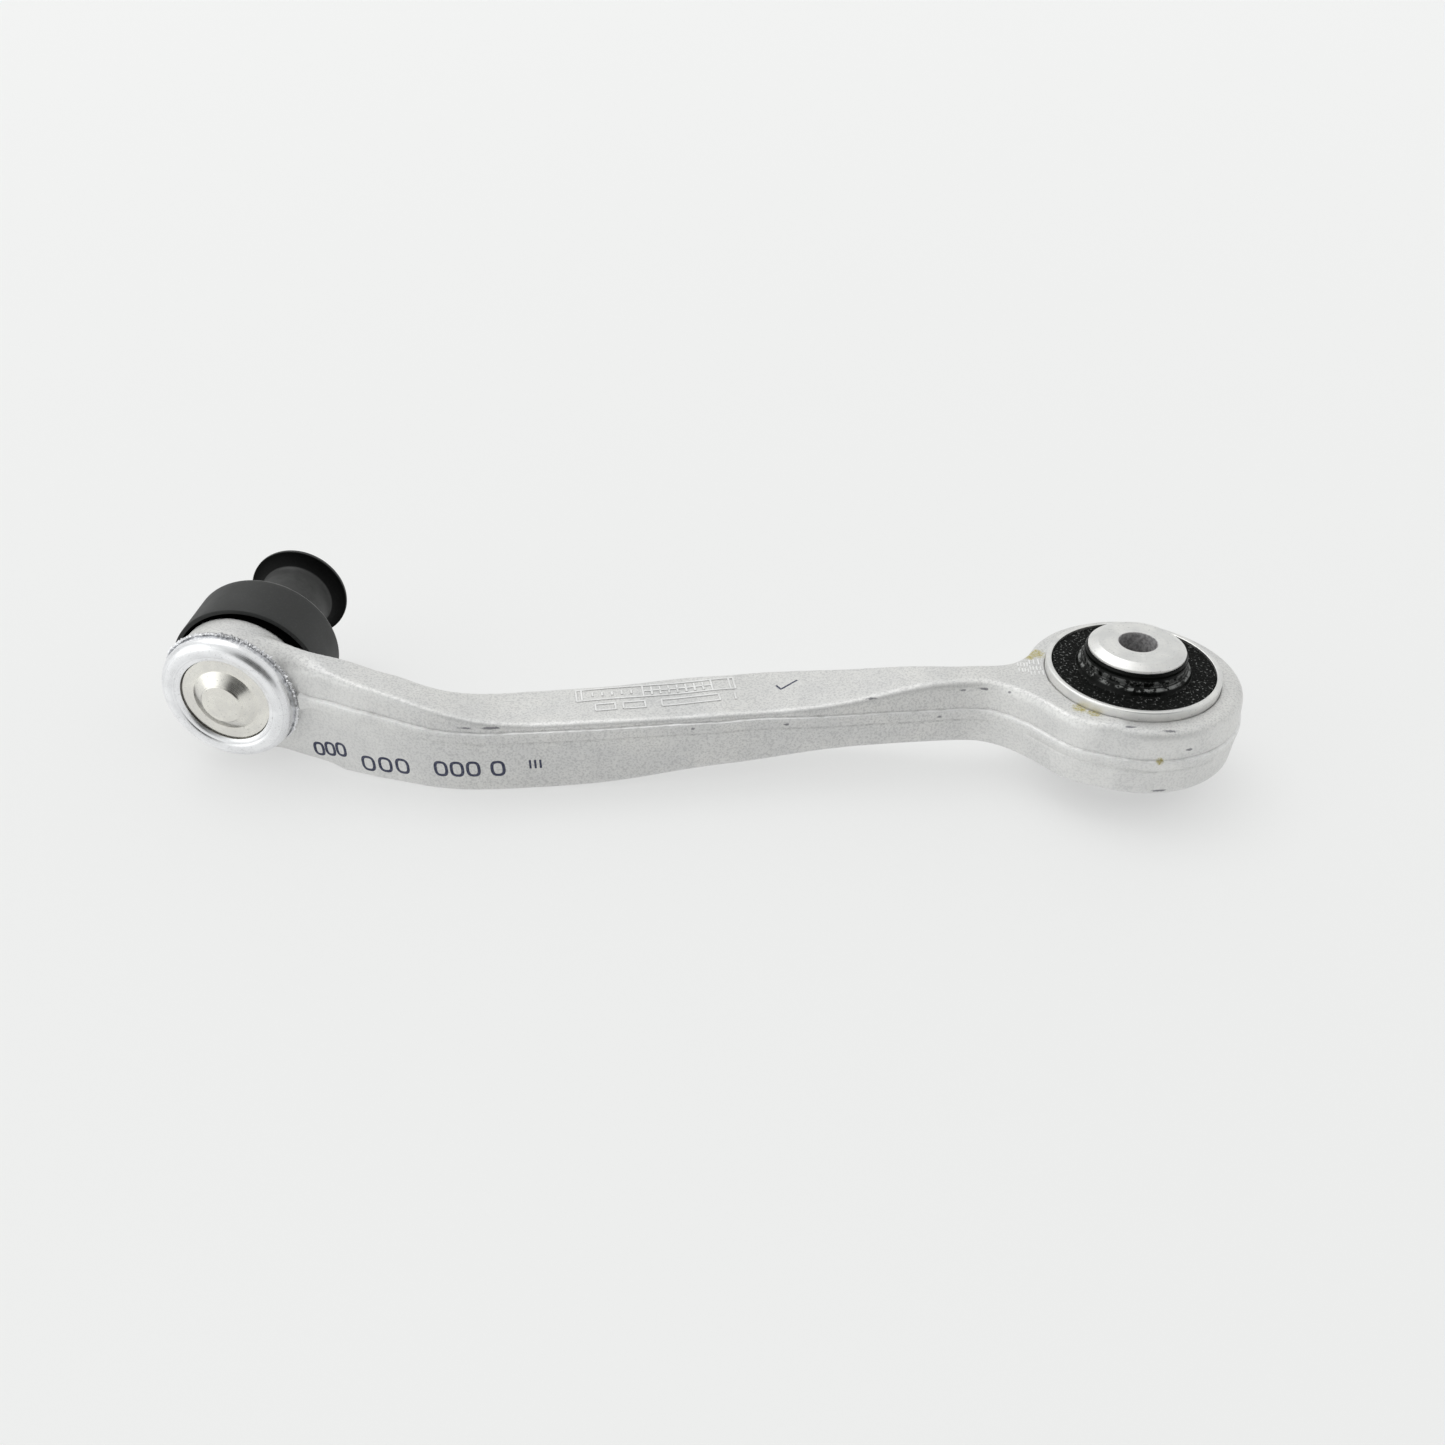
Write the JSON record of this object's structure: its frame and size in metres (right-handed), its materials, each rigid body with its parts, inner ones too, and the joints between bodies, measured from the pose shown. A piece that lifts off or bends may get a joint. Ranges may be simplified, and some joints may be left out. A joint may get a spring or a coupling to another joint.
{
  "type": "suspension control arm",
  "caption": "Forged aluminium suspension control arm with a rubber bush at one end and a ball joint, dust boot and capped stud at the other.",
  "frame": {"origin": "centre of the bush bore, at the middle of the inner sleeve's length", "axes": "+Z along the bush axis, out of the face whose stamped side is up; -X towards the ball joint, whose centre is at y = 0; +Y the way the stud points"},
  "size_m": [0.2974, 0.0774, 0.0459],
  "materials": {
    "forged_aluminium": "shot-blasted forging, matte light grey, with machined areas brighter",
    "turned_aluminium": "fine turned, satin",
    "bush_rubber": "black moulded rubber, granular face and smooth glossy collar",
    "seat_plastic": "smooth off-white bearing plastic",
    "cover_steel": "pressed sheet steel, satin",
    "stud_steel": "ground steel",
    "boot_rubber": "matte dark grey moulded rubber",
    "ring_steel": "bright drawn spring wire",
    "cap_plastic": "matte black moulded plastic"
  },
  "bodies": {
    "arm": {"forged_arm": "forged_aluminium", "bush_outer_sleeve": "turned_aluminium", "bush_rubber": "bush_rubber", "ball_seat": "seat_plastic", "closing_cover": "cover_steel", "dust_boot": "boot_rubber", "boot_large_ring": "ring_steel"},
    "bush_core": {"bush_inner_sleeve": "turned_aluminium"},
    "stud_carrier": {"boot_small_ring": "ring_steel"},
    "stud": {"ball_stud": "stud_steel"},
    "cap": {"pin_cap": "cap_plastic"}
  },
  "joints": [
    {"name": "bush_twist", "type": "hinge", "parent": "arm", "child": "bush_core", "pos_m": [0, 0, 0], "axis": [0, 0, 1], "range_deg": [-25, 25], "stiffness_Nm_per_rad": 60},
    {"name": "stud_tilt", "type": "hinge", "parent": "arm", "child": "stud_carrier", "pos_m": [-0.246, 0, 0.005], "axis": [0, 0, 1], "range_deg": [-25, 11], "deforming": ["dust_boot"]},
    {"name": "stud_spin", "type": "hinge", "parent": "stud_carrier", "child": "stud", "pos_m": [-0.246, 0, 0.005], "axis": [0.0262, 0.9997, 0], "continuous": true},
    {"name": "cap_slide", "type": "slide", "parent": "stud", "child": "cap", "axis": [0.0262, 0.9997, 0], "range_m": [0, 0.03]}
  ]
}
